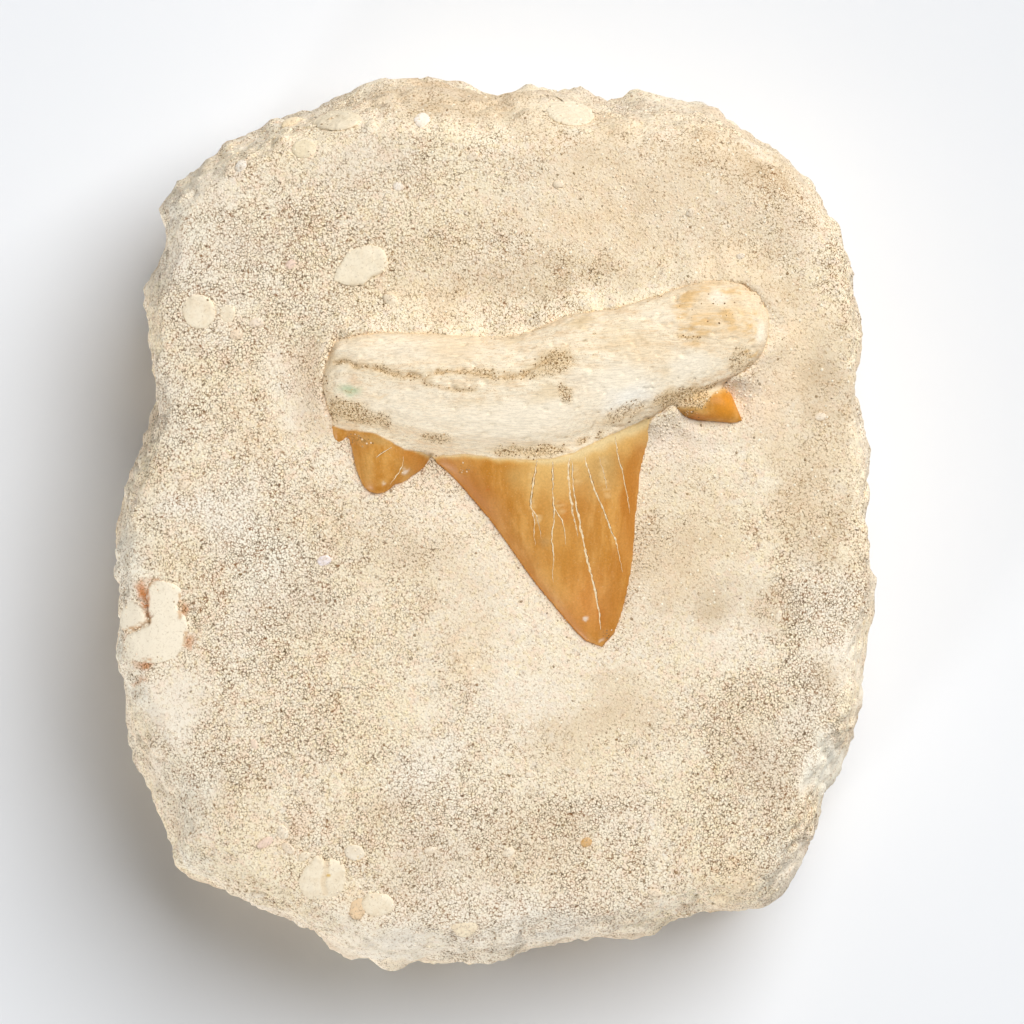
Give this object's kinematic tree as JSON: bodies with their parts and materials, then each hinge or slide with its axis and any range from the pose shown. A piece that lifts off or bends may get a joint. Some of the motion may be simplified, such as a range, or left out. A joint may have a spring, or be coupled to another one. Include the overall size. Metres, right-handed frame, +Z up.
{
  "type": "fossil shark tooth in matrix",
  "caption": "Fossil shark tooth with side cusplets, half bedded face up in an irregular block of pale phosphatic sand with small pebbles; lies flat for display.",
  "frame": {"origin": "middle of the block's flat underside", "axes": "+Z up out of the face with the tooth, +Y up the block, from the tooth's point towards its root"},
  "size_m": [0.0775, 0.0905, 0.0329],
  "materials": {
    "sand_matrix": "rough, sandy, matt",
    "tooth": "glossy orange enamel on the crown and cusplets, matt cream bone on the root",
    "pebble": "smooth, chalky, matt",
    "bone": "chalky, with rusty cracks"
  },
  "bodies": {
    "root": {"matrix": "sand_matrix", "shark_tooth": "tooth", "bone_fragment": "bone", "twin_nodule": "pebble", "angular_pebble": "pebble", "white_pebble": "pebble", "oval_pebble": "pebble", "round_pebble": "pebble", "small_pebble": "pebble", "white_chip": "pebble", "flat_clast_left": "pebble", "round_clast": "pebble", "flat_clast_right": "pebble"}
  },
  "joints": []
}
